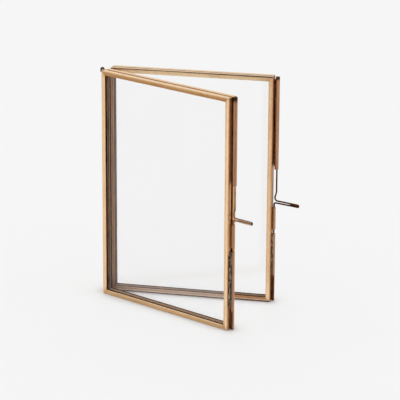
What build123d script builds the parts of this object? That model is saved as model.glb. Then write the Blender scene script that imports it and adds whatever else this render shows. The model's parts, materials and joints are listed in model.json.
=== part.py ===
"""Hinged double photo frame: two glazed brass leaves that open like a book.

Each leaf is a front half and a back half, a pane of glass in a brass channel, with a gap between them
for a print. The halves swing apart on a wire pin along the spine and are held shut at the free edge by a
wire bolt with a hairpin handle, which slides in a sleeve and a guide tube and drops into a keeper tube.

A leaf is modelled in its own frame: x from the spine edge to the free edge, y from the front face to the
back face, z up from the surface that it stands on. The far leaf stays there, and the near leaf is turned
about the book hinge. At rest each bolt is lifted just clear of its keeper.
"""
from build123d import *
from math import cos, pi, sin
import os

# One leaf
leaf_height = 180.0
leaf_width = 127.0
print_gap = 1.8
corner_radius = 1.0

# Glass and the channel round it
glass_thickness = 2.0
glass_play = 0.05
glazing_gap = 0.3
channel_wall = 0.7
channel_face = 3.7
channel_edge_radius = 0.5

# Wire and tube stock, the same for the hinges and the bolts
wire_radius = 0.65
wire_sides = 12
wire_play = 0.05
tube_wall = 0.55
tube_clearance = 0.1
solder_grip = 1.1
solder_tab_length = 7.0
solder_tab_inset = 3.0

# Leaf hinge: three tubes in the groove at the spine, and a pin whose top is hooked over outwards
leaf_knuckle_length = 50.0
knuckle_gap = 0.3
leaf_hinge_foot = 2.0
leaf_hinge_drops = {"near": 0.0, "far": 5.0}
pin_bend_radius = 0.9
pin_hook_angle = 45.0
pin_hook_reach = 2.0
pin_hook_rise = 0.8
pin_hook_fall = 2.4

# Book hinge between the leaves
opening_angle = 27.9
leaf_clearance = 0.6
flat_clearance = 0.4
book_knuckle_length = 55.0
book_hinge_inset = 3.0
strap_grip = 1.3
pin_head_radius = 1.05
pin_head_height = 0.6
pin_head_clearance = 0.1

# Bolt at the free edge, measured from the middle of its handle
bolt_heights = {"near": 87.2, "far": 80.8}
handle_lengths = {"near": 18.0, "far": 22.0}
handle_angles = {"near": 0.0, "far": 22.0}
solder_lengths = {"near": 45.0, "far": 31.5}
handle_pitch = 1.7
handle_tip_radius = 0.8
handle_root_radius = 2.2
pin_root_radius = 1.6
jog_radius = 1.2
bolt_drop = 2.2
sleeve_radius = 1.6
sleeve_bore = 1.25
sleeve_offset = 2.75
sleeve_shift = -0.45
sleeve_seam_inset = 1.5
sleeve_rise = 26.0
sleeve_insets = {"near": -0.5, "far": 0.5}
upper_leg_offset = 3.0
upper_leg_rise = 54.0
jog_offset = 1.9
jog_start = 7.7
jog_end = 3.6
lower_guide_length = 17.7
keeper_fall = 25.7
keeper_foot = 0.6
keeper_lead_in = 0.25
pin_tip_gap = 0.3
pin_tip_chamfer = 0.25

# Rough solder bead beside the keeper: half widths of the bead along its length
bead_inset = 0.35
bead_overlap = 0.4
bead_top_gap = 0.6
bead_depth = 1.1
bead_half_width = 1.65
bead_sides = 10
bead_swell = (0.72, 1.05, 0.86, 1.12, 0.9, 1.08, 0.68)

# Worked out from the sizes above
channel_depth = glass_thickness + 2 * glass_play + 2 * channel_wall
leaf_thickness = 2 * channel_depth + print_gap
groove = leaf_thickness / 2
bore_radius = wire_radius + wire_play
tube_radius = bore_radius + tube_wall
axis_offset = tube_radius + tube_clearance
book_offset = axis_offset + tube_radius + flat_clearance / 2
book_axis = Axis((-book_offset, -leaf_clearance / 2, 0), (0, 0, 1))


def prism(points, bottom, top):
    """Straight prism over a plan outline, from one height to another."""
    return Pos(0, 0, bottom) * extrude(make_face(Polyline(*points, close=True)), top - bottom)


def rod(radius, x, y, bottom, top):
    """Upright cylinder between two heights."""
    return Pos(x, y, bottom) * Cylinder(radius, top - bottom, align=(Align.CENTER, Align.CENTER, Align.MIN))


def channel(length):
    """Brass U channel along x, open upwards, with both ends mitred towards its open side."""
    outer = Pos(channel_depth / 2, channel_face / 2) * Rectangle(channel_depth, channel_face)
    outer = fillet(outer.vertices().sort_by(Axis.Y)[:2], channel_edge_radius)
    slot = Pos(channel_depth / 2, channel_wall + channel_face / 2)
    slot *= Rectangle(channel_depth - 2 * channel_wall, channel_face)
    bar = extrude(Plane.YZ * (outer - slot), length)
    mitred = Polyline(
        (0, 0), (length, 0), (length - channel_face, channel_face), (channel_face, channel_face), close=True
    )
    return bar & extrude(Plane.XZ * make_face(mitred), -channel_depth)


def half_frame():
    """The four channel pieces and the pane of one half, with the front of the channel at y = 0."""
    outline = Pos(leaf_width / 2, leaf_height / 2)
    outline *= RectangleRounded(leaf_width, leaf_height, corner_radius)
    envelope = extrude(Plane.XZ * outline, -channel_depth)
    rail = channel(leaf_width)
    stile = channel(leaf_height)
    pieces = {
        "bottom_rail": rail & envelope,
        "top_rail": Pos(leaf_width, 0, leaf_height) * Rot(0, 180, 0) * rail & envelope,
        "spine_stile": Pos(0, 0, leaf_height) * Rot(0, 90, 0) * stile & envelope,
        "latch_stile": Pos(leaf_width, 0, 0) * Rot(0, -90, 0) * stile & envelope,
    }
    edge = channel_wall + glazing_gap
    pane = Box(leaf_width - 2 * edge, glass_thickness, leaf_height - edge - channel_wall, align=Align.MIN)
    pieces["glass"] = Pos(edge, channel_wall + glass_play, channel_wall) * pane
    return pieces


def soldered_tube(radius, bore, x, y, bottom, top, half, tabs):
    """Tube along an edge, held to one half by solder over the given stretches of its length.

    x points out of the leaf from the edge face, and y to the back from the middle of the groove.
    """
    side = 1 if half == "back" else -1
    foot = print_gap / 2 + channel_edge_radius
    outline = [(0, side * foot), (0, side * (foot + solder_grip)), (x, y + side * radius), (x, y)]
    body = rod(radius, x, y, bottom, top)
    for low, high in tabs:
        body += prism(outline, low, high)
    return body - rod(bore, x, y, bottom, top)


def edge_tube(bottom, top, half):
    """Tube in line with the groove that the wire fits closely, with a solder tab near each end."""
    low = bottom + solder_tab_inset
    high = top - solder_tab_inset
    tabs = [(low, low + solder_tab_length), (high - solder_tab_length, high)]
    return soldered_tube(tube_radius, bore_radius, axis_offset, 0, bottom, top, half, tabs)


def bent_wire(points, radii):
    """Wire along straight runs joined by bends."""
    path = FilletPolyline(*points, radius=radii)
    section = Plane(origin=path @ 0, z_dir=path % 0) * RegularPolygon(wire_radius, wire_sides)
    return sweep(section, path=path)


def at_free_edge(piece):
    """Moves a piece from edge coordinates to the leaf's free edge."""
    return Pos(leaf_width, groove, 0) * piece


def at_spine(piece):
    """Moves a piece from edge coordinates to the leaf's spine edge."""
    return Pos(0, groove, 0) * mirror(piece, Plane.YZ)


def leaf_hinge(leaf):
    """Hinge between the halves of a leaf: the front half holds both end tubes and the pin."""
    top = leaf_height - leaf_hinge_drops[leaf]
    low = leaf_hinge_foot + leaf_knuckle_length
    high = top - leaf_knuckle_length
    hook = top + pin_hook_rise
    over = Vector(axis_offset, 0, 0) + Vector(pin_hook_reach, 0, 0).rotate(Axis.Z, -pin_hook_angle)
    points = [
        (axis_offset, 0, leaf_hinge_foot),
        (axis_offset, 0, hook),
        (over.X, over.Y, hook),
        (over.X, over.Y, top - pin_hook_fall),
    ]
    pin = bent_wire(points, [pin_bend_radius, pin_bend_radius])
    return {
        "lower_hinge_tube": at_spine(edge_tube(leaf_hinge_foot, low, "front")),
        "middle_hinge_tube": at_spine(edge_tube(low + knuckle_gap, high - knuckle_gap, "back")),
        "upper_hinge_tube": at_spine(edge_tube(high, top, "front")),
        "hinge_pin": at_spine(pin),
    }


def latch_wire(leaf):
    """Wire bolt: leg in the sleeve, jog towards the leaf, hairpin handle, and pin over the keeper."""
    height = bolt_heights[leaf]
    upper = height + handle_pitch / 2
    lower = height - handle_pitch / 2
    reach = Vector(handle_lengths[leaf], 0, 0).rotate(Axis.Z, -handle_angles[leaf])
    tip = Vector(axis_offset, 0, 0) + reach
    points = [
        (upper_leg_offset, 0, height + upper_leg_rise),
        (upper_leg_offset, 0, height + jog_start),
        (jog_offset, 0, height + jog_end),
        (jog_offset, 0, upper),
        (tip.X, tip.Y, upper),
        (tip.X, tip.Y, lower),
        (axis_offset, 0, lower),
        (axis_offset, 0, height - keeper_fall + pin_tip_gap),
    ]
    tip_radii = [handle_tip_radius, handle_tip_radius]
    wire = bent_wire(points, [jog_radius, jog_radius, handle_root_radius, *tip_radii, pin_root_radius])
    return chamfer(wire.edges().group_by(Axis.Z)[0], pin_tip_chamfer)


def keeper_solder(mouth, length, keeper):
    """Lumpy bead of solder in the corner between the front half's edge face and the keeper tube."""
    span = length / (len(bead_swell) - 1)
    middle = print_gap / 2 + bead_half_width - bead_overlap
    turns = [2 * pi * side / bead_sides for side in range(bead_sides)]
    sections = []
    for index, swell in enumerate(bead_swell):
        outline = [(bead_depth * swell * cos(turn), bead_half_width * swell * sin(turn)) for turn in turns]
        height = mouth - bead_top_gap - index * span
        sections.append(Pos(bead_inset, -middle, height) * make_face(Polyline(*outline, close=True)))
    bead = split(loft(sections, ruled=True), Plane.YZ, Keep.TOP)
    return bead - keeper - rod(tube_radius, axis_offset, 0, 0, mouth)


def bolt(leaf):
    """Guides, keeper, solder and latch wire at the free edge of one leaf."""
    height = bolt_heights[leaf]
    mouth = height - keeper_fall
    guide_top = height - handle_pitch / 2 - pin_root_radius - bolt_drop
    keeper = edge_tube(keeper_foot, mouth, "front")
    keeper -= Pos(axis_offset, 0, mouth) * Cone(
        bore_radius, bore_radius + keeper_lead_in, keeper_lead_in,
        align=(Align.CENTER, Align.CENTER, Align.MAX),
    )
    sleeve_bottom = height + sleeve_rise
    sleeve_top = leaf_height - sleeve_insets[leaf]
    seam = (sleeve_bottom + sleeve_seam_inset, sleeve_top - sleeve_seam_inset)
    sleeve = soldered_tube(
        sleeve_radius, sleeve_bore, sleeve_offset, sleeve_shift, sleeve_bottom, sleeve_top, "back", [seam]
    )
    pieces = {
        "upper_guide_tube": sleeve,
        "lower_guide_tube": edge_tube(guide_top - lower_guide_length, guide_top, "back"),
        "keeper_tube": keeper,
        "keeper_solder": keeper_solder(mouth, solder_lengths[leaf], keeper),
        "latch_wire": latch_wire(leaf),
    }
    return {name: at_free_edge(piece) for name, piece in pieces.items()}


def book_knuckle(bottom, top):
    """Knuckle on the book hinge with a strap to the spine edge of the far leaf's front half."""
    x, y = book_axis.position.X, book_axis.position.Y
    foot = channel_edge_radius
    strap = prism([(x, y + tube_radius), (0, foot + strap_grip), (0, foot), (x, y)], bottom, top)
    return rod(tube_radius, x, y, bottom, top) + strap - rod(bore_radius, x, y, bottom, top)


def book_hinge():
    """Knuckles and headed pin between the leaves, all as they lie with the book closed."""
    foot = book_hinge_inset
    head = leaf_height - book_hinge_inset
    low = foot + book_knuckle_length
    high = head - book_knuckle_length
    x, y = book_axis.position.X, book_axis.position.Y
    facing = Plane(origin=(x, y, 0), z_dir=(0, 1, 0))
    bottom = foot - pin_head_clearance
    top = head + pin_head_clearance
    pin = rod(wire_radius, x, y, bottom, top)
    pin += rod(pin_head_radius, x, y, bottom - pin_head_height, bottom)
    pin += rod(pin_head_radius, x, y, top, top + pin_head_height)
    near = {
        "book_lower_knuckle": mirror(book_knuckle(foot, low), facing),
        "book_upper_knuckle": mirror(book_knuckle(high, head), facing),
    }
    far = {"book_middle_knuckle": book_knuckle(low + knuckle_gap, high - knuckle_gap), "book_pin": pin}
    return near, far


def leaf_pieces(leaf, half_pieces):
    """Every piece of one leaf by name, in the leaf's own frame."""
    pieces = {}
    for half, start in (("front", 0), ("back", channel_depth + print_gap)):
        for name, piece in half_pieces.items():
            pieces[f"{half}_{name}"] = Pos(0, start, 0) * piece
    return pieces | leaf_hinge(leaf) | bolt(leaf)


half_pieces = half_frame()
near_knuckles, far_knuckles = book_hinge()

# The near leaf closes onto the far one and is then turned open about the book hinge
closed = Pos(0, -leaf_thickness - leaf_clearance, 0)
opened = Pos(book_axis.position) * Rot(0, 0, -opening_angle) * Pos(-book_axis.position)
far_leaf = leaf_pieces("far", half_pieces)
near_leaf = leaf_pieces("near", half_pieces)
nodes = {f"far_{name}": piece for name, piece in far_leaf.items()} | far_knuckles
nodes |= {f"near_{name}": opened * closed * piece for name, piece in near_leaf.items()}
nodes |= {name: opened * piece for name, piece in near_knuckles.items()}

# The origin is under the middle of the whole frame, on the surface that it stands on
extent = Compound(children=[solid for piece in nodes.values() for solid in piece.solids()]).bounding_box()
origin_shift = Pos(-extent.center().X, -extent.center().Y, -extent.min.Z)

os.makedirs("parts", exist_ok=True)
for name, piece in nodes.items():
    export_step(origin_shift * piece, f"parts/{name}.step")
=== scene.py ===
import json
import math

import bmesh
import bpy
from mathutils import Matrix, Vector, noise

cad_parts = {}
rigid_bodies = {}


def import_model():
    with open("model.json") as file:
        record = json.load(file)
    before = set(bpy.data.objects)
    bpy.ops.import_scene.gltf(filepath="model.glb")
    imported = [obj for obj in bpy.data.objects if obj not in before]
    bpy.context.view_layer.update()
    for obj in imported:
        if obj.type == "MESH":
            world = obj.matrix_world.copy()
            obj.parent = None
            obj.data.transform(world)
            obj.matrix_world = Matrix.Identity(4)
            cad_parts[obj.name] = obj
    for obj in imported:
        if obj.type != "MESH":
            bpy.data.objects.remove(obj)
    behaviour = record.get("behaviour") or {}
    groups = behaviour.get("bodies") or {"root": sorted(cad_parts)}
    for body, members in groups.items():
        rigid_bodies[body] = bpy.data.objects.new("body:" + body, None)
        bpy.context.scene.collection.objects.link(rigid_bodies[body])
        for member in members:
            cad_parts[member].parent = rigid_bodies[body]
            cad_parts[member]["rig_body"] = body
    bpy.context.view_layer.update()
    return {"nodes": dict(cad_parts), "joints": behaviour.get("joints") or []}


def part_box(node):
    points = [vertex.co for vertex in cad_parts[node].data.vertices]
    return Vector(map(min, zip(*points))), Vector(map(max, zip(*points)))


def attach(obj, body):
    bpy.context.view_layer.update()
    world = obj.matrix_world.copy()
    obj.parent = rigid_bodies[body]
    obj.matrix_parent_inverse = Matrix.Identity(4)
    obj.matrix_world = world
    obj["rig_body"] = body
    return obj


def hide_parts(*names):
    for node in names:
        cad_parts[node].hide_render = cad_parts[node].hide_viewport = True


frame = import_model()

# Sizes of the part, in millimetres
MM = 0.001
LEAF_HEIGHT = 180.0
LEAF_WIDTH = 127.0
LEAF_CLEARANCE = 0.6
PRINT_GAP = 1.8
CORNER_RADIUS = 1.0
CHANNEL_DEPTH = 3.5
CHANNEL_WALL = 0.7
CHANNEL_FACE = 3.7
EDGE_RADIUS = 0.5
LIP_RADIUS = 0.14
WIRE_RADIUS = 0.628
BORE_RADIUS = 0.7
TUBE_RADIUS = 1.25
TUBE_BEVEL = 0.14
AXIS_OFFSET = 1.35
BOLT_HEIGHT = {"near": 87.2, "far": 80.8}
KEEPER_FALL = 25.7
BEAD_LENGTH = {"near": 45.0, "far": 31.5}
BACK_START = CHANNEL_DEPTH + PRINT_GAP
LEAF_THICKNESS = 2 * CHANNEL_DEPTH + PRINT_GAP
GROOVE = LEAF_THICKNESS / 2

joint = {entry["name"]: entry for entry in frame["joints"]}
nodes = frame["nodes"]


# Places: each leaf has its own axes, x from spine to free edge, y from front to back, z up
def leaf_places():
    """Matrices from millimetres to the frame: of each leaf, and of each leaf's side of the book hinge."""
    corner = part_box("far_front_spine_stile")[0]
    corner.z = 0.0
    book = Vector(joint["book_hinge"]["pos_m"])
    opening = Matrix.Rotation(math.radians(joint["book_hinge"]["range_deg"][0]), 4, "Z")
    turn = Matrix.Translation(book) @ opening @ Matrix.Translation(-book)
    far = Matrix.Translation(corner) @ Matrix.Scale(MM, 4)
    near = turn @ far
    closed = Matrix.Translation((0, -LEAF_THICKNESS - LEAF_CLEARANCE, 0))
    return {"far": far, "near": near @ closed}, {"far": far, "near": near}


LEAF, BOOK = leaf_places()
FREE_EDGE = Matrix.Translation((LEAF_WIDTH, GROOVE, 0))
SPINE_EDGE = Matrix.Translation((0, GROOVE, 0)) @ Matrix.Diagonal((-1, 1, 1, 1))

# Soft steps and noise
SEED_COUNT = 97
SEED_SPREAD = 7
HOLLOW_MIDDLE = 0.5
HOLLOW_SWING = 0.6


def smooth(low, high, value):
    """Smooth step from 0 at low to 1 at high."""
    share = min(max((value - low) / (high - low), 0.0), 1.0)
    return share * share * (3 - 2 * share)


def band(rise, fall, value):
    """Smooth band that rises to 1 over one stretch and falls back to 0 over another."""
    return smooth(*rise, value) * (1 - smooth(*fall, value))


def seed_of(name):
    """A number of its own for each piece, the same in each run."""
    return sum((place + 1) * ord(letter) for place, letter in enumerate(name)) % SEED_COUNT / SEED_SPREAD


def hollow(*place):
    """Noise from 0 to 1, for dents that only go inwards."""
    return min(max(HOLLOW_MIDDLE + HOLLOW_SWING * noise.noise(place), 0.0), 1.0)


# Meshes: every piece is a run of rings, each point with its surface values
def new_object(name, data):
    """New object in the scene."""
    made = bpy.data.objects.new(name, data)
    bpy.context.scene.collection.objects.link(made)
    return made


def add_piece(node, rings, matrix, material, looped=False, sharp=40.0):
    """Skins rings of (point, values) into a closed mesh that stands for a node.

    The values are where the point lies along and round the piece, how far the edge is brightened by rubbing
    and by painted highlight, how far the surface is darkened by browning and by painted shade, and how far it
    has gone matt.
    """
    count = len(rings[0])
    total = len(rings)
    points = [matrix @ Vector(point) for ring in rings for point, _ in ring]
    faces = []
    for row in range(total if looped else total - 1):
        low = row * count
        high = (row + 1) % total * count
        for place in range(count):
            after = (place + 1) % count
            faces.append((low + place, low + after, high + after, high + place))
    if not looped:
        faces += [tuple(range(count)), tuple(range((total - 1) * count, total * count))]
    mesh = bpy.data.meshes.new(f"{node}_formed")
    mesh.from_pydata(points, [], faces)
    values = [value for ring in rings for _, value in ring]
    seed = seed_of(node)
    flow = mesh.attributes.new("flow", "FLOAT_VECTOR", "POINT")
    spread = [part for value in values for part in (value[0] * MM, value[1] * MM, seed)]
    flow.data.foreach_set("vector", spread)
    # Values per point: edge holds rubbing and painted highlight, the next one browning and painted shade,
    # then matt
    for index, name in enumerate(("edge", "age_and_shade", "matt"), 2):
        layer = mesh.attributes.new(name, "FLOAT", "POINT")
        layer.data.foreach_set("value", [value[index] for value in values])
    work = bmesh.new()
    work.from_mesh(mesh)
    bmesh.ops.recalc_face_normals(work, faces=work.faces)
    work.to_mesh(mesh)
    work.free()
    for face in mesh.polygons:
        face.use_smooth = True
    mesh.set_sharp_from_angle(angle=math.radians(sharp))
    mesh.materials.append(material)
    piece = new_object(f"{node}_formed", mesh)
    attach(piece, nodes[node]["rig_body"])
    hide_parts(node)


# Channels: brass bent to a U, with rounded corners, soft lips and shallow dents
OUTER_ROUND, INNER_ROUND, LIP, FLAT = "outer", "inner", "lip", "flat"
LIP_STEPS = 3
EDGE_STEPS = 6
INNER_STEPS = 2
LONG_SIDE = 1.0
FLAT_SHARES = (0.12, 0.3, 0.5, 0.62, 0.74, 0.84, 0.93)
CORNER_STEPS = 6
CORNER_SLIDE = 0.3
STATION_LENGTH = 4.0


def channel_profile():
    """Closed outline of the U channel: points of depth and inset, their normals and what they belong to."""
    inner = CHANNEL_DEPTH - CHANNEL_WALL
    corners = [
        (0, CHANNEL_FACE, LIP_RADIUS, LIP_STEPS, LIP),
        (0, 0, EDGE_RADIUS, EDGE_STEPS, OUTER_ROUND),
        (CHANNEL_DEPTH, 0, EDGE_RADIUS, EDGE_STEPS, OUTER_ROUND),
        (CHANNEL_DEPTH, CHANNEL_FACE, LIP_RADIUS, LIP_STEPS, LIP),
        (inner, CHANNEL_FACE, LIP_RADIUS, LIP_STEPS, LIP),
        (inner, CHANNEL_WALL, LIP_RADIUS, INNER_STEPS, INNER_ROUND),
        (CHANNEL_WALL, CHANNEL_WALL, LIP_RADIUS, INNER_STEPS, INNER_ROUND),
        (CHANNEL_WALL, CHANNEL_FACE, LIP_RADIUS, LIP_STEPS, LIP),
    ]
    outline = []
    for index, (depth, inset, radius, steps, kind) in enumerate(corners):
        here = Vector((depth, inset))
        before = (Vector(corners[index - 1][:2]) - here).normalized()
        after = (Vector(corners[(index + 1) % len(corners)][:2]) - here).normalized()
        centre = here + (before + after) * radius
        for step in range(steps + 1):
            turn = step / steps * math.pi / 2
            point = centre - after * radius * math.cos(turn) - before * radius * math.sin(turn)
            outline.append((point, kind))
    full = []
    for (point, kind), (ahead, _) in zip(outline, outline[1:] + outline[:1]):
        full.append((point, kind))
        if (ahead - point).length > LONG_SIDE:
            full += [(point.lerp(ahead, share), FLAT) for share in FLAT_SHARES]
    profile = []
    for index, (point, kind) in enumerate(full):
        along = full[(index + 1) % len(full)][0] - full[index - 1][0]
        profile.append((point, Vector((along.y, -along.x)).normalized(), kind))
    return profile


PROFILE = channel_profile()


def channel_places(length):
    """Stations along a channel: share of the corner's arc, share of the straight run, and which end."""
    runs = int(length / STATION_LENGTH)
    arcs = [step / CORNER_STEPS for step in range(CORNER_STEPS)]
    places = [(arc, 0.0, False) for arc in arcs]
    places += [(1.0, step / runs, False) for step in range(runs + 1)]
    return places + [(arc, 0.0, True) for arc in reversed(arcs)]


def channel_point(arc, run, inset, length):
    """Along and inset at one station of a line that lies that far in from the channel's outer edge."""
    bend = max(CORNER_RADIUS - inset, 0.0)
    angle = math.pi / 4 * (1 + arc)
    start = max(CORNER_RADIUS, inset)
    slide = CORNER_SLIDE * min(inset, CORNER_RADIUS)
    if arc < 1:
        return start - bend * math.cos(angle) + slide * arc, start - bend * math.sin(angle)
    return start + slide + run * (length - 2 * (start + slide)), inset


# Dents in the channels, as depths and lengths in millimetres
DENT_DEPTH = 0.06
DENT_FADE = (2.0, 9.0)
BROAD_DENT = (15, 4)
FINE_DENT = (4, 2)
FINE_DENT_SHARE = 0.4
FINE_DENT_SEED = 5
LIP_WAVER = 0.1
LIP_WAVE = (7, 9)
LIP_SEED = 9

# Painted light and mattness of each kind of channel: painted shade on its edge face and gap side, its rim and
# lip brightened by rubbing and painted highlight, painted shade on its rounded outer edge, and how matt its
# edge face and gap side are
PLAIN_LIGHT_AND_FINISH = {"web": 0.0, "gap": 0.6, "rim": 0.0, "lip": 0.0, "corner": 0.0, "matt": 0.0, "gap_matt": 0.0}
LIGHT_AND_FINISH = {
    "bottom_rail": {**PLAIN_LIGHT_AND_FINISH, "web": 0.9, "gap": 0.1, "rim": 0.9, "lip": 0.8, "gap_matt": 0.8},
    "top_rail": {**PLAIN_LIGHT_AND_FINISH, "rim": 0.5},
    "spine_stile": {**PLAIN_LIGHT_AND_FINISH, "web": 0.45, "lip": 0.2, "corner": 0.15},
    "latch_stile": {**PLAIN_LIGHT_AND_FINISH, "web": 0.3, "gap": 0.62, "corner": 0.3, "matt": 0.2},
}
# Painted shade on the gap side, deepest along its rim, lighter on the top rails
GAP_RIM_SHADE = 0.95
TOP_GAP_SHADE = {"near": 0.3, "far": 0.6}
GAP_RIM_REACH = (0.9, 2.4)
SEAM_WIDTH = 0.9
SEAM_AGE = 0.3


def channel_ring(place, length, front, light_and_finish, gap_rim, local_marks, seed):
    """One ring of a channel piece, as (along, depth, inset) with its surface values."""
    arc, run, mirrored = place
    ring = []
    around = 0.0
    last = PROFILE[0][0]
    for point, normal, kind in PROFILE:
        along, inset = channel_point(arc, run, point.y, length)
        if mirrored:
            along = length - along
        depth = point.x
        around += (point - last).length
        last = point
        glazed = CHANNEL_WALL / 2 < depth < CHANNEL_DEPTH - CHANNEL_WALL / 2 and inset > CHANNEL_WALL / 2
        near_end = min(along, length - along)
        fade = smooth(*DENT_FADE, near_end)
        if not glazed:
            dent = hollow(along / BROAD_DENT[0], around / BROAD_DENT[1], seed)
            fine = hollow(along / FINE_DENT[0], around / FINE_DENT[1], seed + FINE_DENT_SEED)
            dent += FINE_DENT_SHARE * fine
            depth -= normal.x * dent * DENT_DEPTH * fade
            inset -= normal.y * dent * DENT_DEPTH * fade
        if kind == LIP:
            inset -= LIP_WAVER * fade * hollow(along / LIP_WAVE[0], depth / LIP_WAVE[1], seed + LIP_SEED)
        outer = depth < CHANNEL_DEPTH / 2 if front else depth > CHANNEL_DEPTH / 2
        rounding = smooth(0.0, EDGE_RADIUS, inset)
        # Painted shade: the groove under the glass is dark, the edge face and the gap side are darker
        if glazed:
            age_and_shade = 1.0
        elif outer:
            turning = light_and_finish["corner"] if kind == OUTER_ROUND else 0.0
            age_and_shade = light_and_finish["web"] + (turning - light_and_finish["web"]) * rounding
        else:
            sunk = gap_rim + (light_and_finish["gap"] - gap_rim) * smooth(*GAP_RIM_REACH, inset)
            age_and_shade = light_and_finish["web"] + (sunk - light_and_finish["web"]) * rounding
        # The rounded rim and the lip are brightened by rubbing and given painted highlight
        rub_and_highlight = {OUTER_ROUND: light_and_finish["rim"], LIP: light_and_finish["lip"]}.get(kind, 0.0) if outer else 0.0
        seam = SEAM_AGE * (1 - smooth(0.0, SEAM_WIDTH, near_end - inset))
        # Stains, painted shade and painted highlight of the single piece
        darkening, brightening = local_marks(along, depth, inset, outer)
        age_and_shade = max(age_and_shade, seam, darkening) * (1 - brightening)
        rub_and_highlight = max(rub_and_highlight, brightening)
        side_matt = 0.0 if outer or glazed else light_and_finish["gap_matt"]
        matt = light_and_finish["matt"] + (side_matt - light_and_finish["matt"]) * rounding
        ring.append(((along, depth, inset), (along, around, rub_and_highlight, age_and_shade, matt)))
    return ring


# Marks on single channel pieces, stains and painted light, as stretches in millimetres and how far they
# darken or brighten the brass
FLUX_AGE = 0.6
FLUX_START = (-4, 2)
FLUX_END = (-1, 3)
FLUX_DEPTH = (1.4, 2.2)
# Painted shade on the far front latch stile's edge face
WEB_SHADE = {"near": 0.0, "far": 0.5}
# Bands down the latch stiles' faces, brightened by wear and given painted highlight, the rest of the face a
# little darker
WORN_HIGHLIGHT_BAND = {"near": ((0.3, 0.9), (1.7, 2.3)), "far": ((1.1, 1.7), (2.6, 3.2))}
WORN_HIGHLIGHT = 0.7
OFF_BAND_DARKENING = 0.07
# Far bottom rail: painted shade in the fold, darker towards the free end, a painted contact shadow along the
# rim at the floor and a painted highlight band
FOLD_SHADE = 0.06
FREE_END_DARKENING = 0.4
FOLD_END = (86, 98)
FOLD_RIM_SHADE = 0.95
FOLD_RIM = (0.7, 1.1)
FOLD_HIGHLIGHT_BAND = ((1.0, 1.3), (1.7, 2.3))
# Painted shade over the far front spine stile's face
SPINE_SHADE = 0.04
# Painted highlight on the near back spine stile's gap-side lip
LIP_HIGHLIGHT = 0.2
LIP_REACH = (2.9, 3.3)
# Painted shade line along the far front top rail's front edge, deepening along the rail
LINE_SHADE = 0.7
LINE_DEEPENING = 0.25
LINE_RUN = (40, 120)
LINE_DEPTH = (0.9, 1.8)
LINE_INSET = (0.5, 1.0)
SHADED_EDGE_AGE = 0.65
# Painted shade on the far back top rail's top face
LIGHT_EDGE_SHADE = 0.2
# Painted shade on the lower part of the near front top rail's face
RAIL_FOOT_SHADE = 0.5
RAIL_FOOT_REACH = (0.6, 2.0)


def local_marks_of(leaf, half, name):
    """Local marks on a channel piece, as how far it is darkened and how far it is brightened.

    The front latch stiles have solder flux beside the keeper, and a wear band down the face with a painted
    highlight, the rest of the face a little darker; the far one has painted shade on its edge face. The far
    bottom rail has painted shade in the fold of the book, growing darker towards its free end, a painted
    shadow along its rim at the floor and a painted highlight line. The far top rail has a painted shade line
    along its front edge.
    Other pieces have painted shade along an edge, along the foot of a face or over a whole face; one lip has
    a painted highlight.
    """
    mouth = BOLT_HEIGHT[leaf] - KEEPER_FALL
    foot = mouth - BEAD_LENGTH[leaf]

    def flux(along, depth, inset, outer):
        if inset < EDGE_RADIUS:
            beside = smooth(*FLUX_START, along - foot) * (1 - smooth(*FLUX_END, along - mouth))
            return max(WEB_SHADE[leaf], FLUX_AGE * beside * smooth(*FLUX_DEPTH, depth)), 0.0
        if not outer:
            return 0.0, 0.0
        bright_band = band(*WORN_HIGHLIGHT_BAND[leaf], inset)
        return OFF_BAND_DARKENING * (1 - bright_band), WORN_HIGHLIGHT * bright_band

    def fold(along, depth, inset, outer):
        if not outer:
            return 0.0, 0.0
        bright_band = band(*FOLD_HIGHLIGHT_BAND, inset)
        darkening = FOLD_SHADE + FREE_END_DARKENING * smooth(*FOLD_END, along)
        return max(darkening * (1 - bright_band), FOLD_RIM_SHADE * (1 - smooth(*FOLD_RIM, inset))), WORN_HIGHLIGHT * bright_band

    def shaded_face(along, depth, inset, outer):
        return (SPINE_SHADE if outer else 0.0), 0.0

    def highlighted_lip(along, depth, inset, outer):
        return 0.0, (0.0 if outer else LIP_HIGHLIGHT * smooth(*LIP_REACH, inset))

    def shade_line(along, depth, inset, outer):
        strength = LINE_SHADE + LINE_DEEPENING * smooth(*LINE_RUN, along)
        return strength * (1 - smooth(*LINE_DEPTH, depth)) * (1 - smooth(*LINE_INSET, inset)), 0.0

    def shaded_edge(along, depth, inset, outer):
        return (SHADED_EDGE_AGE if inset < EDGE_RADIUS else 0.0), 0.0

    def lightly_shaded_edge(along, depth, inset, outer):
        return (LIGHT_EDGE_SHADE if inset < EDGE_RADIUS else 0.0), 0.0

    def shaded_rail_foot(along, depth, inset, outer):
        return (RAIL_FOOT_SHADE * smooth(*RAIL_FOOT_REACH, inset) if outer else 0.0), 0.0

    def plain(along, depth, inset, outer):
        return 0.0, 0.0

    marks = {
        ("near", "front", "latch_stile"): flux,
        ("far", "front", "latch_stile"): flux,
        ("far", "front", "bottom_rail"): fold,
        ("far", "front", "spine_stile"): shaded_face,
        ("near", "back", "spine_stile"): highlighted_lip,
        ("far", "back", "latch_stile"): shaded_edge,
        ("far", "front", "top_rail"): shade_line,
        ("far", "back", "top_rail"): lightly_shaded_edge,
        ("near", "front", "top_rail"): shaded_rail_foot,
    }
    return marks.get((leaf, half, name), plain)


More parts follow.
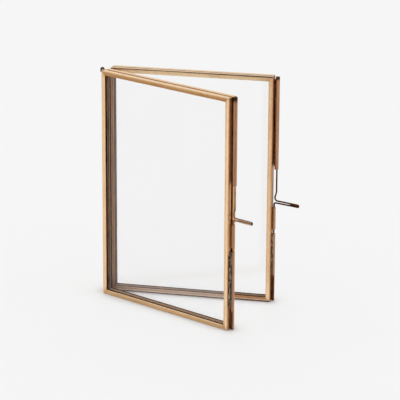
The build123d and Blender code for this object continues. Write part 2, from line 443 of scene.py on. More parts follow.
def channel_piece(leaf, half, name, material):
    """Rail or stile of one half, in formed brass channel with hand-finished faces, painted shade and painted
    highlights.
    """
    node = f"{leaf}_{half}_{name}"
    length = LEAF_WIDTH if name.endswith("rail") else LEAF_HEIGHT
    front = half == "front"
    start = 0.0 if front else BACK_START
    gap_rim = TOP_GAP_SHADE[leaf] if name == "top_rail" else GAP_RIM_SHADE
    local_marks = local_marks_of(leaf, half, name)
    rings = []
    for place in channel_places(length):
        ring = []
        for spot, values in channel_ring(place, length, front, LIGHT_AND_FINISH[name], gap_rim, local_marks, seed_of(node)):
            along, depth, inset = spot
            y = start + depth
            point = {
                "bottom_rail": (along, y, inset),
                "top_rail": (along, y, LEAF_HEIGHT - inset),
                "spine_stile": (inset, y, along),
                "latch_stile": (LEAF_WIDTH - inset, y, along),
            }[name]
            ring.append((point, values))
        rings.append(ring)
    add_piece(node, rings, LEAF[leaf], material)


# Tubes: a wall of revolution whose outside swells into the solder or strap that holds it
TUBE_SIDES = 60
TUBE_ROW = 1.1
TUBE_DENT = 0.03
TUBE_DENT_LENGTH = 9
PARALLEL = 1e-9
SHARE_SLACK = 1e-6
TAB_SOFTNESS = 1.3
TAB_OVERRUN = 0.2
LEAST_SWELL = 0.05

# Darkening of the tubes: painted shade on the side towards the leaf and in a streak down the front, browning
# at the solder, and painted shade at the foot's front and at the head
SHADED_AGE = {"near": 0.05, "far": 0.12}
SHADE_FROM = {"near": 0.1, "far": 0.45}
SHADE_SPREAD = 0.7
STREAK_SHADE = {"near": 0.3, "far": 0.0}
STREAK_PLACE = 0.62
STREAK_WIDTH = (0.1, 0.35)
# Painted shade on the book knuckles' shaded side
HIDDEN_SIDE_SHADE = 0.7
TAB_AGE = 0.3
SEAM_SOLDER_AGE = {"near": 0.1, "far": 0.12}
END_SHADE = 0.85
FOOT_SHADE_FRONT = (0.3, 0.85)
FOOT_SHADE_FADE = 0.8
HEAD_SHADE_FADE = 0.4
UNSHADED_ENDS = (0.0, 0.0)

# How bright and how dark the tube ends are: painted highlight on the rims, painted highlight and shade at the
# mouths, painted shade in the bore
MOUTH_HIGHLIGHT_AND_SHADE = (0.3, 0.6)
RIM_HIGHLIGHT = (1.0, 0.1)
BORE_SHADE = (0.0, 1.0)


def outline_reach(outline, angle):
    """How far a closed outline round the axis reaches in one direction."""
    ray = Vector((math.cos(angle), math.sin(angle)))
    best = 0.0
    for start, end in zip(outline, outline[1:] + outline[:1]):
        first, run = Vector(start), Vector(end) - Vector(start)
        cross = ray.x * run.y - ray.y * run.x
        if abs(cross) < PARALLEL:
            continue
        reach = (first.x * run.y - first.y * run.x) / cross
        share = (first.x * ray.y - first.y * ray.x) / cross
        if reach > 0 and -SHARE_SLACK <= share <= 1 + SHARE_SLACK:
            best = max(best, reach)
    return best


def tab_share(tabs, height):
    """How far a height lies within the soldered stretches, with soft ends."""
    share = 0.0
    for low, high in tabs:
        rise = (low - TAB_OVERRUN, low + TAB_SOFTNESS)
        fall = (high - TAB_SOFTNESS, high + TAB_OVERRUN)
        share = max(share, band(rise, fall, height))
    return share


def tube_piece(node, matrix, size, centre, span, outline, tabs, material, ages_and_shades, flare=0.0, shaded_ends=UNSHADED_ENDS):
    """Hollow tube about an upright line, held along the given stretches of its length.

    Darkening values say how far the side towards the leaf and a streak down the front are darkened with
    painted shade and the solder browned, and how far round the shaded side begins. The foot's front and the
    head are darkened with painted shade over the given end lengths.
    """
    shaded, streak, soldered, turn = ages_and_shades
    foot_shade, head_shade = shaded_ends
    radius, bore = size
    bottom, top = span
    seed = seed_of(node)
    rows = int((top - bottom) / TUBE_ROW)
    straight = top - bottom - 2 * TUBE_BEVEL
    heights = [bottom + TUBE_BEVEL + straight * row / rows for row in range(rows + 1)]
    mouth = bore + TUBE_BEVEL / 2
    rings = []
    for side in range(TUBE_SIDES):
        angle = 2 * math.pi * side / TUBE_SIDES
        across, ahead = math.cos(angle), math.sin(angle)
        reach = outline_reach(outline, angle)
        wall = []
        for height in heights:
            held = tab_share(tabs, height)
            swell = max(reach - radius, 0.0) * held
            dent = TUBE_DENT * hollow(height / TUBE_DENT_LENGTH, across, ahead + seed)
            # Painted shade on the side towards the leaf, in a streak down the front and at the ends; browning
            # at the solder
            age_and_shade = shaded * smooth(-turn, SHADE_SPREAD - turn, -across)
            if ahead < 0:
                age_and_shade = max(age_and_shade, streak * (1 - smooth(*STREAK_WIDTH, abs(across - STREAK_PLACE))))
            if swell > LEAST_SWELL:
                age_and_shade = max(age_and_shade, soldered * held)
            if foot_shade:
                low_down = 1 - smooth(bottom + FOOT_SHADE_FADE * foot_shade, bottom + foot_shade, height)
                age_and_shade = max(age_and_shade, END_SHADE * low_down * smooth(*FOOT_SHADE_FRONT, -ahead))
            if head_shade:
                age_and_shade = max(age_and_shade, END_SHADE * smooth(top - head_shade, top - HEAD_SHADE_FADE * head_shade, height))
            wall.append((radius - dent + swell, height, 0.0, age_and_shade))
        section = [(mouth, bottom, *MOUTH_HIGHLIGHT_AND_SHADE), (wall[0][0] - TUBE_BEVEL, bottom, *RIM_HIGHLIGHT)]
        section += wall
        section += [(wall[-1][0] - TUBE_BEVEL, top, *RIM_HIGHLIGHT), (mouth + flare, top, *MOUTH_HIGHLIGHT_AND_SHADE)]
        section += [(bore, top - TUBE_BEVEL - flare, *BORE_SHADE), (bore, bottom + TUBE_BEVEL, *BORE_SHADE)]
        ring = []
        for out, height, edge, age_and_shade in section:
            point = (centre[0] + out * across, centre[1] + out * ahead, height)
            ring.append((point, (height, angle * radius, edge, age_and_shade, 0.0)))
        rings.append(ring)
    add_piece(node, rings, matrix, material, looped=True, sharp=50.0)


SOLDER_FOOT = PRINT_GAP / 2 + EDGE_RADIUS
SOLDER_GRIP = 1.1
TAB_LENGTH = 7.0
TAB_INSET = 3.0
CLOSE_TUBE = (TUBE_RADIUS, BORE_RADIUS)
ON_AXIS = (AXIS_OFFSET, 0.0)


def edge_tube(node, leaf, edge, size, centre, span, half, material, flare=0.0, shaded_ends=UNSHADED_ENDS, seam=None):
    """Tube along one edge of a leaf, soldered to its front or back half near both ends or along a seam."""
    side = 1 if half == "back" else -1
    x, y = centre
    outline = [
        (-x, side * SOLDER_FOOT - y),
        (-x, side * (SOLDER_FOOT + SOLDER_GRIP) - y),
        (0, side * size[0]),
        (0, 0),
    ]
    low = span[0] + TAB_INSET
    high = span[1] - TAB_INSET
    tabs = [seam] if seam else [(low, low + TAB_LENGTH), (high - TAB_LENGTH, high)]
    soldered = SEAM_SOLDER_AGE[leaf] if seam else TAB_AGE
    ages_and_shades = (SHADED_AGE[leaf], STREAK_SHADE[leaf], soldered, SHADE_FROM[leaf])
    place = LEAF[leaf] @ edge
    tube_piece(node, place, size, centre, span, outline, tabs, material, ages_and_shades, flare, shaded_ends)


# Wires: round stock bent by hand
WIRE_SIDES = 20
BEND_STEP = math.radians(9)
LEAST_BEND_STEPS = 2
RUN_STEP = 2.0
WIRE_WAVER = 0.03
WIRE_WAVE = 3
WIRE_ENDS = [(0.35, 0.0), (0.75, 0.09), (0.93, 0.2)]
# Painted shade on the wire's underside and on its side towards the leaf
UNDER_SHADE = 0.45
UNDER_SIDE = (0.2, 0.9)


def straight_run(start, end):
    """Points between two ends, without the ends themselves."""
    steps = int((end - start).length / RUN_STEP)
    return [start.lerp(end, step / (steps + 1)) for step in range(1, steps + 1)]


def bent_path(points, radii):
    """Points along straight runs joined by round bends."""
    points = [Vector(point) for point in points]
    path = [points[0]]
    for before, here, after, radius in zip(points, points[1:], points[2:], radii):
        back = (before - here).normalized()
        ahead = (after - here).normalized()
        turn = math.pi - back.angle(ahead)
        trim = radius * math.tan(turn / 2)
        centre = here + (back + ahead).normalized() * math.hypot(radius, trim)
        start = here + back * trim - centre
        axis = back.cross(ahead).normalized()
        steps = max(int(turn / BEND_STEP), LEAST_BEND_STEPS)
        path += straight_run(path[-1], centre + start)
        for step in range(steps + 1):
            path.append(centre + Matrix.Rotation(-turn * step / steps, 3, axis) @ start)
    return path + straight_run(path[-1], points[-1]) + [points[-1]]


def unbrightened(point):
    """Leaves the wire without rub and without painted highlight."""
    return 0.0


def as_bent(point, spot):
    """Leaves a point of the wire's skin where the bends put it."""
    return spot


def unmarked(point, spot):
    """Leaves the wire's skin without marks of its own."""
    return 0.0


def wire_piece(node, matrix, path, material, rub_and_highlight, age_and_shade, press=as_bent, marks=unmarked):
    """Round wire along a path, with rounded ends, darkened with painted shade underneath, towards the leaf
    and where marked.
    """
    seed = seed_of(node)
    tangents = []
    for index in range(len(path)):
        tangents.append((path[min(index + 1, len(path) - 1)] - path[max(index - 1, 0)]).normalized())
    across = tangents[0].orthogonal().normalized()
    sections = []
    along = 0.0
    for index, (point, tangent) in enumerate(zip(path, tangents)):
        if index:
            across = (tangents[index - 1].rotation_difference(tangent) @ across).normalized()
            along += (point - path[index - 1]).length
        sections.append((point, tangent, across.copy(), along, 1.0))
    first, last = sections[0], sections[-1]
    rounded = [(first[0] + first[1] * rise, *first[1:4], share) for share, rise in WIRE_ENDS]
    rounded += sections[1:-1]
    rounded += [(last[0] - last[1] * rise, *last[1:4], share) for share, rise in reversed(WIRE_ENDS)]
    rings = []
    for point, tangent, side, at, share in rounded:
        up = tangent.cross(side)
        ring = []
        for step in range(WIRE_SIDES):
            angle = 2 * math.pi * step / WIRE_SIDES
            waver = WIRE_WAVER * hollow(at / WIRE_WAVE, math.cos(angle), math.sin(angle) + seed)
            out = side * math.cos(angle) + up * math.sin(angle)
            spot = press(point, point + out * (WIRE_RADIUS - waver) * share)
            shade = age_and_shade + UNDER_SHADE * max(smooth(*UNDER_SIDE, -out.z), smooth(*UNDER_SIDE, -out.x))
            shade = max(shade, marks(point, spot))
            ring.append((spot, (at, angle * WIRE_RADIUS, rub_and_highlight(point), min(shade, 1.0), 0.0)))
        rings.append(ring)
    add_piece(node, rings, matrix, material, sharp=60.0)


# Turned pins: rubbed towards the rim of the head
PIN_RUB = (0.7, 0.95)
PIN_AGE = 0.4


def turned_piece(node, matrix, centre, outline, material):
    """Solid of revolution through (radius, height) points, for the headed book pin."""
    rings = []
    for radius, height in outline:
        ring = []
        for step in range(WIRE_SIDES):
            angle = 2 * math.pi * step / WIRE_SIDES
            point = (centre[0] + radius * math.cos(angle), centre[1] + radius * math.sin(angle), height)
            ring.append((point, (height, angle * radius, smooth(*PIN_RUB, radius), PIN_AGE, 0.0)))
        rings.append(ring)
    add_piece(node, rings, matrix, material, sharp=60.0)


# Solder: a lumpy bead run along the corner between the edge face and the keeper
BEAD_SIDES = 26
BEAD_ROW = 0.5
BEAD_CENTRE = (0.25, -2.15)
BEAD_HALF = (1.0, 1.55)
BEAD_SINK = -0.2
BEAD_TOP_GAP = 0.6
BEAD_END_GIRTH = 0.3
BEAD_ENDS = ((0.0, 0.07), (0.86, 1.0))
BEAD_GIRTH = 0.94
KEEPER_REACH = 0.98
LUMP_SWELL = 0.24
BROAD_LUMP = (2.6, 1.3)
FINE_LUMP = (1.1, 2.2)
FINE_LUMP_SHARE = 0.5
FINE_LUMP_SEED = 3
# Darker pits between the lumps, a darker rim where the bead meets the leaf, and painted highlight on the
# lumps' crowns
PIT_DARKENING = 0.8
PIT_LUMP = (-0.45, 0.0)
LUMP_HIGHLIGHT = (0.25, 0.6)
BEAD_RIM_DARKENING = 0.7
BEAD_RIM = (0.1, 0.5)


def solder_piece(leaf, mouth, length, material):
    """Rough bead of solder, tapered at both ends, with rounded lumps that carry painted highlights and dark
    pits between them.
    """
    node = f"{leaf}_keeper_solder"
    seed = seed_of(node)
    rows = int(length / BEAD_ROW)
    keeper = Vector(ON_AXIS)
    rings = []
    for row in range(rows + 1):
        share = row / rows
        height = mouth - BEAD_TOP_GAP - length * share
        taper = BEAD_END_GIRTH + (1 - BEAD_END_GIRTH) * band(*BEAD_ENDS, share)
        ring = []
        for side in range(BEAD_SIDES):
            angle = 2 * math.pi * side / BEAD_SIDES
            out, over = math.cos(angle), math.sin(angle)
            long, wide = BROAD_LUMP
            lump = noise.noise((height / long, wide * out, wide * over + seed))
            long, wide = FINE_LUMP
            fine = noise.noise((height / long, wide * out, wide * over + seed + FINE_LUMP_SEED))
            lump += FINE_LUMP_SHARE * fine
            swell = taper * (BEAD_GIRTH + LUMP_SWELL * lump)
            x = BEAD_CENTRE[0] + BEAD_HALF[0] * swell * out
            y = BEAD_CENTRE[1] + BEAD_HALF[1] * swell * over
            spot = Vector((max(x, BEAD_SINK), y))
            away = spot - keeper
            if away.length < KEEPER_REACH:
                spot = keeper + away.normalized() * KEEPER_REACH
            pit = PIT_DARKENING * (1 - smooth(*PIT_LUMP, lump))
            rim = BEAD_RIM_DARKENING * (1 - smooth(*BEAD_RIM, spot.x))
            bright = smooth(*LUMP_HIGHLIGHT, lump)
            ring.append(((spot.x, spot.y, height), (height, angle, bright, max(pit, rim), 0.0)))
        rings.append(ring)
    add_piece(node, rings, LEAF[leaf] @ FREE_EDGE, material, sharp=80.0)


# Materials
def colour(red, green, blue):
    """Linear colour of an ordinary screen colour from 0 to 255."""
    def linear(value):
        share = value / 255
        return share / 12.92 if share <= 0.04045 else ((share + 0.055) / 1.055) ** 2.4
    return linear(red), linear(green), linear(blue), 1.0


def put(tree, kind, inputs=None, **settings):
    """New shader node with its settings, and its inputs set or linked."""
    made = tree.nodes.new(kind)
    for key, value in settings.items():
        setattr(made, key, value)
    for key, value in (inputs or {}).items():
        if isinstance(value, bpy.types.NodeSocket):
            tree.links.new(value, made.inputs[key])
        else:
            made.inputs[key].default_value = value
    return made


def blend(tree, factor, first, second):
    """Colour between two colours."""
    return put(tree, "ShaderNodeMix", {0: factor, 6: first, 7: second}, data_type="RGBA").outputs[2]


def ranged(tree, value, low, high, start=0.0, end=1.0):
    """Value from one range carried to another, and held there."""
    return put(
        tree, "ShaderNodeMapRange",
        {"Value": value, "From Min": low, "From Max": high, "To Min": start, "To Max": end},
    ).outputs[0]


def reckon(tree, operation, first, second, held=True):
    """Sum, product or other arithmetic of two values, held between 0 and 1 unless it is let free."""
    return put(tree, "ShaderNodeMath", {0: first, 1: second}, operation=operation, use_clamp=held).outputs[0]


def grain(tree, source, stretch, detail=3.0, rough=0.55):
    """Noise over the surface, stretched along and round the piece."""
    spread = put(tree, "ShaderNodeVectorMath", {0: source, 1: stretch}, operation="MULTIPLY")
    made = put(
        tree, "ShaderNodeTexNoise",
        {"Vector": spread.outputs[0], "Scale": 1.0, "Detail": detail, "Roughness": rough},
    )
    return made.outputs["Fac"]


def new_material(name):
    """Empty node material and its tree."""
    made = bpy.data.materials.new(name)
    made.use_nodes = True
    made.node_tree.nodes.clear()
    return made, made.node_tree


STREAK_LIMITS = (0.36, 0.64)
BLOTCH_STRETCH = (230, 330, 1)
BLOTCH_LIMITS = (0.5, 0.74)
SPECK_STRETCH = (1100, 1300, 1)
SPECK_LIMITS = (0.7, 0.76)
SPECK_DETAIL = (2.0, 0.4)
SPECK_AGE = 0.5
RUB_AND_HIGHLIGHT_SHARE = 0.8
FULLY_BROWN = 0.5
AGE_ROUGHNESS = 0.15
RELIEF_STRETCH = (500, 5200, 1)
RELIEF_DETAIL = 2.0
RELIEF_HEIGHT = 0.00005


def metal(name, bright, dull, brown, dark, shine, rough, streak, patina, bump=0.12):
    """Aged metal: streaks along the piece, browning that deepens to dark and also carries painted shade,
    specks, and edges brightened by rubbing and by painted highlight.
    """
    made, tree = new_material(name)
    flow = put(tree, "ShaderNodeAttribute", attribute_name="flow").outputs["Vector"]
    edge = put(tree, "ShaderNodeAttribute", attribute_name="edge").outputs["Fac"]
    age_and_shade = put(tree, "ShaderNodeAttribute", attribute_name="age_and_shade").outputs["Fac"]
    matt = put(tree, "ShaderNodeAttribute", attribute_name="matt").outputs["Fac"]
    streaks = ranged(tree, grain(tree, flow, streak), *STREAK_LIMITS)
    blotches = ranged(tree, grain(tree, flow, BLOTCH_STRETCH), *BLOTCH_LIMITS)
    specks = ranged(tree, grain(tree, flow, SPECK_STRETCH, *SPECK_DETAIL), *SPECK_LIMITS)
    body = blend(tree, streaks, bright, dull)
    # Rubbed edges and painted highlights mix in the shine colour
    rub_and_highlight = blend(tree, reckon(tree, "MULTIPLY", edge, RUB_AND_HIGHLIGHT_SHARE), body, shine)
    blotched = reckon(tree, "MULTIPLY", blotches, patina)
    specked = reckon(tree, "MULTIPLY", specks, SPECK_AGE)
    # Browning from ageing, patina and specks, together with painted shade, deepening to dark
    age_and_shade_total = reckon(tree, "ADD", age_and_shade, reckon(tree, "ADD", blotched, specked))
    browned = blend(tree, ranged(tree, age_and_shade_total, 0.0, FULLY_BROWN), rub_and_highlight, brown)
    skin = blend(tree, ranged(tree, age_and_shade_total, FULLY_BROWN, 1.0), browned, dark)
    new_roughness = ranged(tree, streaks, 0.0, 1.0, *rough)
    roughness = reckon(tree, "ADD", new_roughness, ranged(tree, age_and_shade_total, 0.0, 1.0, 0.0, AGE_ROUGHNESS))
    relief = put(
        tree, "ShaderNodeBump",
        {
            "Height": grain(tree, flow, RELIEF_STRETCH, RELIEF_DETAIL),
            "Strength": bump, "Distance": RELIEF_HEIGHT,
        },
    )
    shader = put(
        tree, "ShaderNodeBsdfPrincipled",
        {
            "Base Color": skin, "Metallic": reckon(tree, "SUBTRACT", 1.0, matt),
            "Roughness": reckon(tree, "MAXIMUM", roughness, matt), "Normal": relief.outputs[0],
        },
    )
    put(tree, "ShaderNodeOutputMaterial", {"Surface": shader.outputs[0]})
    return made


WHITE = (1.0, 1.0, 1.0, 1)
GLASS_TINT = (0.992, 0.992, 0.992, 1)
SMEAR_TINT = (0.987, 0.988, 0.988, 1)
SMEAR_STRETCH = (60, 60, 18)
SMEAR_LIMITS = (0.4, 0.7)
GLASS_INDEX = 1.3


def clear_glass():
    """Clear float glass, faintly smeared, that lets the studio light through to what lies behind it."""
    made, tree = new_material("clear_glass")
    place = put(tree, "ShaderNodeTexCoord").outputs["Object"]
    smear = ranged(tree, grain(tree, place, SMEAR_STRETCH), *SMEAR_LIMITS)
    tint = blend(tree, smear, GLASS_TINT, SMEAR_TINT)
    glass = put(
        tree, "ShaderNodeBsdfPrincipled",
        {"Base Color": tint, "Roughness": 0.0, "IOR": GLASS_INDEX, "Transmission Weight": 1.0},
    )
    through = put(tree, "ShaderNodeBsdfTransparent", {"Color": WHITE})
    ray = put(tree, "ShaderNodeLightPath").outputs
    lighting = reckon(tree, "MAXIMUM", ray["Is Shadow Ray"], ray["Is Diffuse Ray"])
    either = put(tree, "ShaderNodeMixShader", {0: lighting, 1: glass.outputs[0], 2: through.outputs[0]})
    put(tree, "ShaderNodeOutputMaterial", {"Surface": either.outputs[0]})
    return made


# Metals: bright and dull body, brown and dark colours that also carry painted shade, a shine colour for
# rubbing that also carries painted highlight, roughness, stretch of the streaks and patina
BROWN = colour(194, 134, 82)
DARK = colour(48, 24, 10)
SHINE = colour(254, 232, 198)
SMOOTH_BRASS = (0.18, 0.3)
WORN_BRASS = (0.2, 0.32)
MATT_BRASS = (0.3, 0.45)
DRAWN = (40, 1600, 1)
STILE_BRASS = metal(
    "stile_brass", colour(246, 209, 166), colour(235, 194, 150), BROWN, DARK,
    SHINE, SMOOTH_BRASS, DRAWN, patina=0.12,
)
# A darker copy of the brass for the near leaf's rails: painted shade for how light falls on rails
SHADED_RAIL_BRASS = metal(
    "shaded_rail_brass", colour(224, 185, 139), colour(206, 165, 118), colour(184, 138, 92), DARK,
    SHINE, SMOOTH_BRASS, DRAWN, patina=0.16,
)
# A greyer, darker copy of the brass for the far leaf's pieces in the fold between the leaves: painted shade
SHADED_FOLD_BRASS = metal(
    "shaded_fold_brass", colour(188, 157, 137), colour(168, 138, 120), colour(190, 138, 94), colour(50, 34, 24),
    colour(240, 222, 202), MATT_BRASS, (60, 900, 1), patina=0.16,
)
# A copy of the brass toned for the far top rail: painted light for how light falls on it
CROWN_BRASS_TONED_BY_LIGHT = metal(
    "crown_brass_toned_by_light", colour(236, 206, 168), colour(223, 192, 152), colour(182, 150, 114), DARK,
    SHINE, WORN_BRASS, DRAWN, patina=0.14,
)
TUBE_BRASS = metal(
    "tube_brass", colour(194, 149, 114), colour(170, 127, 96), colour(134, 92, 64), colour(46, 26, 14),
    colour(226, 184, 144), WORN_BRASS, DRAWN, patina=0.14,
)
WIRE_BRASS = metal(
    "wire_brass", colour(196, 156, 114), colour(156, 116, 82), colour(108, 66, 36), colour(40, 20, 8),
    colour(214, 178, 146), MATT_BRASS, (140, 700, 1), patina=0.2,
)
SOLDER_METAL = metal(
    "solder_metal", colour(146, 136, 128), colour(112, 98, 88), colour(84, 66, 52), colour(34, 22, 13),
    colour(186, 178, 170), (0.4, 0.6), (700, 900, 1), patina=0.3, bump=0.5,
)
GLASS = clear_glass()

# Half frames and panes
# The rails and the far leaf's fold pieces take toned copies of the brass, painted light and shade
CHANNEL_BRASS = {
    ("near", "bottom_rail"): SHADED_RAIL_BRASS,
    ("far", "bottom_rail"): SHADED_FOLD_BRASS,
    ("far", "spine_stile"): SHADED_FOLD_BRASS,
    ("near", "top_rail"): SHADED_RAIL_BRASS,
    ("far", "top_rail"): CROWN_BRASS_TONED_BY_LIGHT,
}
for leaf in LEAF:
    for half in ("front", "back"):
        for name in LIGHT_AND_FINISH:
            channel_piece(leaf, half, name, CHANNEL_BRASS.get((leaf, name), STILE_BRASS))
        pane = nodes[f"{leaf}_{half}_glass"]
        pane.data.materials.clear()
        pane.data.materials.append(GLASS)

# Leaf hinges along the spine, each with a pin whose top is hooked over outwards
HINGE_FOOT = 2.0
HINGE_DROP = {"near": 0.0, "far": 5.0}
HINGE_TUBE = 50.0
TUBE_GAP = 0.3
HOOK_RISE = 0.8
HOOK_FALL = 2.4
HOOK_REACH = 2.0
HOOK_TURN = math.radians(45)
HOOK_RADIUS = 0.9
# Painted shade over the whole hinge pin and its hook
HOOK_SHADE = 0.7
for leaf in LEAF:
    head = LEAF_HEIGHT - HINGE_DROP[leaf]
    low = HINGE_FOOT + HINGE_TUBE
    high = head - HINGE_TUBE
    spans = {
        "lower": ((HINGE_FOOT, low), "front"),
        "middle": ((low + TUBE_GAP, high - TUBE_GAP), "back"),
        "upper": ((high, head), "front"),
    }
    for name, (span, half) in spans.items():
        edge_tube(f"{leaf}_{name}_hinge_tube", leaf, SPINE_EDGE, CLOSE_TUBE, ON_AXIS, span, half, TUBE_BRASS)
    over = (AXIS_OFFSET + HOOK_REACH * math.cos(HOOK_TURN), -HOOK_REACH * math.sin(HOOK_TURN))
    route = [
        (AXIS_OFFSET, 0, HINGE_FOOT),
        (AXIS_OFFSET, 0, head + HOOK_RISE),
        (*over, head + HOOK_RISE),
        (*over, head - HOOK_FALL),
    ]
    path = bent_path(route, [HOOK_RADIUS, HOOK_RADIUS])
    wire_piece(f"{leaf}_hinge_pin", LEAF[leaf] @ SPINE_EDGE, path, WIRE_BRASS, unbrightened, HOOK_SHADE)

# Book hinge between the leaves: knuckles with straps, and a headed pin
BOOK_AXIS = (-2.8, -0.3)
BOOK_INSET = 3.0
BOOK_KNUCKLE = 55.0
STRAP_FOOT = 0.5
STRAP_GRIP = 1.3
low = BOOK_INSET + BOOK_KNUCKLE
high = LEAF_HEIGHT - low
knuckles = {
    "lower": ("near", (BOOK_INSET, low)),
    "middle": ("far", (low + TUBE_GAP, high - TUBE_GAP)),
    "upper": ("near", (high, LEAF_HEIGHT - BOOK_INSET)),
}
foot = STRAP_FOOT - BOOK_AXIS[1]
strap = [(0, TUBE_RADIUS), (-BOOK_AXIS[0], foot + STRAP_GRIP), (-BOOK_AXIS[0], foot), (0, 0)]
for name, (leaf, span) in knuckles.items():
    side = 1 if leaf == "far" else -1
    outline = [(x, side * y) for x, y in strap]
    tabs = [(span[0] - TAB_SOFTNESS, span[1] + TAB_SOFTNESS)]
    ages_and_shades = (HIDDEN_SIDE_SHADE, 0.0, TAB_AGE, SHADE_FROM[leaf])
    node = f"book_{name}_knuckle"
    tube_piece(node, BOOK[leaf], CLOSE_TUBE, BOOK_AXIS, span, outline, tabs, TUBE_BRASS, ages_and_shades)
PIN_HEAD = [(0.1, 0.7), (0.5, 0.68), (0.82, 0.6), (1.0, 0.45), (1.05, 0.3), (1.02, 0.14), (0.92, 0.1)]
pin_foot = BOOK_INSET
pin_top = LEAF_HEIGHT - BOOK_INSET
shoulder = PIN_HEAD[-1][1]
upper_head = [(radius, pin_top + rise) for radius, rise in reversed(PIN_HEAD)]
lower_head = [(radius, pin_foot - rise) for radius, rise in PIN_HEAD]
shank = [(WIRE_RADIUS, pin_foot - shoulder), (WIRE_RADIUS, pin_top + shoulder)]
turned_piece("book_pin", BOOK["far"], BOOK_AXIS, lower_head + shank + upper_head, WIRE_BRASS)

# Bolts at the free edges: sleeve, guide, keeper, solder and the wire with its hairpin handle
SLEEVE = (1.6, 1.25)
SLEEVE_CENTRE = (2.75, -0.45)
SLEEVE_RISE = 26.0
SLEEVE_INSET = {"near": -0.5, "far": 0.5}
SLEEVE_SEAM_INSET = 1.5
# Lengths of painted shade at the sleeves' heads
SLEEVE_HEAD_SHADE = {"near": 5.0, "far": 3.0}
LOWER_GUIDE = 17.7
KEEPER_FOOT = 0.6
KEEPER_FLARE = 0.15
BOLT_DROP = 2.2
TIP_GAP = 0.3
LEG_OFFSET = 3.0
LEG_RISE = 54.0
JOG_OFFSET = 1.9
JOG_START = 7.7
JOG_END = 3.6
JOG_RADIUS = 1.2
PIN_ROOT = 1.6
HANDLE_SWING = {"near": 0.0, "far": 22.0}
HANDLE_LENGTH = {"near": 18.0, "far": 22.0}
HANDLE_PITCH = 1.7
HANDLE_TIP = 0.8
HANDLE_ROOT = 2.2

# Rubbing, painted highlight and painted shade of the hairpin wires and handles, with the stretches measured
# out from the leaf's edge
# Painted shade over the whole wire, heavier on the far leaf
WIRE_SHADE = {"near": 0.06, "far": 0.64}
HANDLE_RUB_AND_HIGHLIGHT = {"near": 1.0, "far": 0.3}
HANDLE_SHADE = {"near": 1.0, "far": 0.9}
FINGERED = (4.5, 9.0)
PRESSED = {"near": (4.5, 9.0), "far": (13.0, 19.0)}
LEG_CLOSING = 0.235
LEG_WIDENING = 0.32
GRIP_OUTSIDE = (1.0, 1.4)
CREASE = (0.1, 0.4)
CREASE_SHADE = 0.8
TIP_SHADE = 0.9
TIP_START = 0.9
TIP_END = 0.3


def handle_press_and_painted_light(leaf, height):
    """How the hairpin is brightened by fingers and by painted highlight, how its legs are pressed together
    into one grip, and its painted shade.

    Painted shade lies along the outside of the grip, in the crease between the legs and round the tip.
    """
    tip = AXIS_OFFSET + HANDLE_LENGTH[leaf]

    def reached(point, stretch):
        return smooth(*stretch, math.hypot(point.x, point.y))

    def rub_and_highlight(point):
        return HANDLE_RUB_AND_HIGHLIGHT[leaf] * reached(point, FINGERED)

    def marks(point, spot):
        rise = abs(spot.z - height)
        outside = smooth(*GRIP_OUTSIDE, rise)
        crease = CREASE_SHADE * (1 - smooth(*CREASE, rise)) * reached(point, PRESSED[leaf])
        end = TIP_SHADE * smooth(tip - TIP_START, tip + TIP_END, math.hypot(spot.x, spot.y))
        return reached(point, FINGERED) * HANDLE_SHADE[leaf] * max(outside, crease, end)

    def press(point, spot):
        share = reached(point, PRESSED[leaf])
        leg = point.z - height
        pressed = leg * (1 - LEG_CLOSING * share) + (spot.z - point.z) * (1 + LEG_WIDENING * share)
        return Vector((spot.x, spot.y, height + pressed))

    return rub_and_highlight, press, marks


for leaf in LEAF:
    height = BOLT_HEIGHT[leaf]
    mouth = height - KEEPER_FALL
    upper = height + HANDLE_PITCH / 2
    lower = height - HANDLE_PITCH / 2
    sleeve_span = (height + SLEEVE_RISE, LEAF_HEIGHT - SLEEVE_INSET[leaf])
    seam = (sleeve_span[0] + SLEEVE_SEAM_INSET, sleeve_span[1] - SLEEVE_SEAM_INSET)
    edge_tube(
        f"{leaf}_upper_guide_tube", leaf, FREE_EDGE, SLEEVE, SLEEVE_CENTRE, sleeve_span, "back", TUBE_BRASS,
        shaded_ends=(0.0, SLEEVE_HEAD_SHADE[leaf]), seam=seam,
    )
    guide_top = lower - PIN_ROOT - BOLT_DROP
    guide_span = (guide_top - LOWER_GUIDE, guide_top)
    edge_tube(
        f"{leaf}_lower_guide_tube", leaf, FREE_EDGE, CLOSE_TUBE, ON_AXIS, guide_span, "back", TUBE_BRASS,
    )
    keeper_span = (KEEPER_FOOT, mouth)
    below_bead = mouth - BEAD_LENGTH[leaf] - KEEPER_FOOT
    edge_tube(
        f"{leaf}_keeper_tube", leaf, FREE_EDGE, CLOSE_TUBE, ON_AXIS, keeper_span, "front", TUBE_BRASS,
        flare=KEEPER_FLARE, shaded_ends=(below_bead, 0.0),
    )
    solder_piece(leaf, mouth, BEAD_LENGTH[leaf], SOLDER_METAL)
    swing = math.radians(HANDLE_SWING[leaf])
    tip = (AXIS_OFFSET + HANDLE_LENGTH[leaf] * math.cos(swing), -HANDLE_LENGTH[leaf] * math.sin(swing))
    route = [
        (LEG_OFFSET, 0, height + LEG_RISE),
        (LEG_OFFSET, 0, height + JOG_START),
        (JOG_OFFSET, 0, height + JOG_END),
        (JOG_OFFSET, 0, upper),
        (*tip, upper),
        (*tip, lower),
        (AXIS_OFFSET, 0, lower),
        (AXIS_OFFSET, 0, mouth + TIP_GAP),
    ]
    path = bent_path(route, [JOG_RADIUS, JOG_RADIUS, HANDLE_ROOT, HANDLE_TIP, HANDLE_TIP, PIN_ROOT])
    rub_and_highlight, press, marks = handle_press_and_painted_light(leaf, height)
    matrix = LEAF[leaf] @ FREE_EDGE
    wire_piece(f"{leaf}_latch_wire", matrix, path, WIRE_BRASS, rub_and_highlight, WIRE_SHADE[leaf], press, marks)

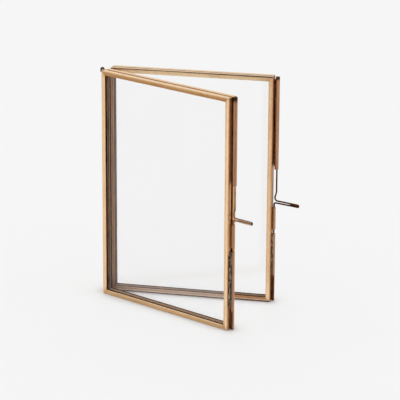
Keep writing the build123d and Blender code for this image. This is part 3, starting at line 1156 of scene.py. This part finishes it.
# Studio: a pale floor that glows where nothing shades it, soft light from all round and a lamp high behind
FLOOR_REACH = 30.0
FLOOR_GREY = (0.905, 0.905, 0.905, 1)
GLOW_GREY = (0.93, 0.93, 0.93, 1)
FLOOR_GLOW = 0.6
SHADE_REACH = 0.014
SHADE_LIMITS = (0.73, 0.97)
LIGHT_UPWARDS = (0.87, 0.97)
LIGHT_ACROSS = (1.12, 0.88)
LIGHT_BACKWARDS = (0.87, 1.15)
LAMP_WIDTH = math.radians(32)
LAMP_STRENGTH = 0.25
LAMP_PLACE = (-0.3, 1.0, 1.25)
floor_mesh = bpy.data.meshes.new("floor")
corners = [(x * FLOOR_REACH, y * FLOOR_REACH, 0) for x, y in ((-1, -1), (1, -1), (1, 1), (-1, 1))]
floor_mesh.from_pydata(corners, [], [(0, 1, 2, 3)])
floor = new_object("floor", floor_mesh)
paper, tree = new_material("paper")
sheet = put(tree, "ShaderNodeBsdfDiffuse", {"Color": FLOOR_GREY})
glow = put(tree, "ShaderNodeEmission", {"Color": GLOW_GREY, "Strength": 1.0})
ray = put(tree, "ShaderNodeLightPath").outputs
mirrored = reckon(tree, "MAXIMUM", ray["Is Glossy Ray"], ray["Is Transmission Ray"])
seen = reckon(tree, "MAXIMUM", ray["Is Camera Ray"], mirrored)
open_sky = put(tree, "ShaderNodeAmbientOcclusion", {"Distance": SHADE_REACH}).outputs["AO"]
unshaded = ranged(tree, open_sky, *SHADE_LIMITS, 0.0, FLOOR_GLOW)
share = reckon(tree, "MULTIPLY", seen, unshaded)
surface = put(tree, "ShaderNodeMixShader", {0: share, 1: sheet.outputs[0], 2: glow.outputs[0]})
put(tree, "ShaderNodeOutputMaterial", {"Surface": surface.outputs[0]})
floor_mesh.materials.append(paper)

world = bpy.data.worlds.new("studio")
bpy.context.scene.world = world
world.use_nodes = True
tree = world.node_tree
tree.nodes.clear()
where = put(tree, "ShaderNodeSeparateXYZ", {0: put(tree, "ShaderNodeTexCoord").outputs["Generated"]})
height_light = ranged(tree, where.outputs["Z"], 0.0, 1.0, *LIGHT_UPWARDS)
side_light = ranged(tree, where.outputs["X"], -1.0, 1.0, *LIGHT_ACROSS)
back_light = ranged(tree, where.outputs["Y"], -1.0, 1.0, *LIGHT_BACKWARDS)
across_light = reckon(tree, "MULTIPLY", side_light, back_light, held=False)
strength = reckon(tree, "MULTIPLY", height_light, across_light, held=False)
soft = put(tree, "ShaderNodeBackground", {"Color": WHITE, "Strength": strength})
put(tree, "ShaderNodeOutputWorld", {"Surface": soft.outputs[0]})

lamp_data = bpy.data.lights.new("overhead", "SUN")
lamp_data.angle = LAMP_WIDTH
lamp_data.energy = LAMP_STRENGTH
lamp = new_object("overhead", lamp_data)
lamp.location = LAMP_PLACE
lamp.rotation_euler = Vector(LAMP_PLACE).to_track_quat("Z", "Y").to_euler()

# Camera at the photograph's angle, placed in the far leaf's own axes
FOCAL = 194.63
SENSOR = 36.0
CLIP_START = 0.05
CLIP_END = 100.0
CAMERA_PLACE = (419.65, -1554.69, 574.09)
YAW = math.radians(12.643)
PITCH = math.radians(17.258)
ROLL = math.radians(0.307)
camera_data = bpy.data.cameras.new("camera")
camera_data.sensor_width = SENSOR
camera_data.lens = FOCAL
camera_data.clip_start = CLIP_START
camera_data.clip_end = CLIP_END
camera = new_object("camera", camera_data)
forward = Vector((-math.sin(YAW) * math.cos(PITCH), math.cos(YAW) * math.cos(PITCH), -math.sin(PITCH)))
tilt = Matrix.Rotation(ROLL, 3, "Z").to_quaternion()
camera.location = LEAF["far"] @ Vector(CAMERA_PLACE)
camera.rotation_mode = "QUATERNION"
camera.rotation_quaternion = forward.to_track_quat("-Z", "Y") @ tilt

# Enough bounces for light to pass through both leaves' panes
GLASS_BOUNCES = 20
GLOSSY_BOUNCES = 8
scene = bpy.context.scene
scene.camera = camera
scene.view_settings.view_transform = "Standard"
scene.cycles.max_bounces = GLASS_BOUNCES
scene.cycles.transmission_bounces = GLASS_BOUNCES
scene.cycles.glossy_bounces = GLOSSY_BOUNCES
scene.cycles.transparent_max_bounces = GLASS_BOUNCES

bpy.context.view_layer.update()
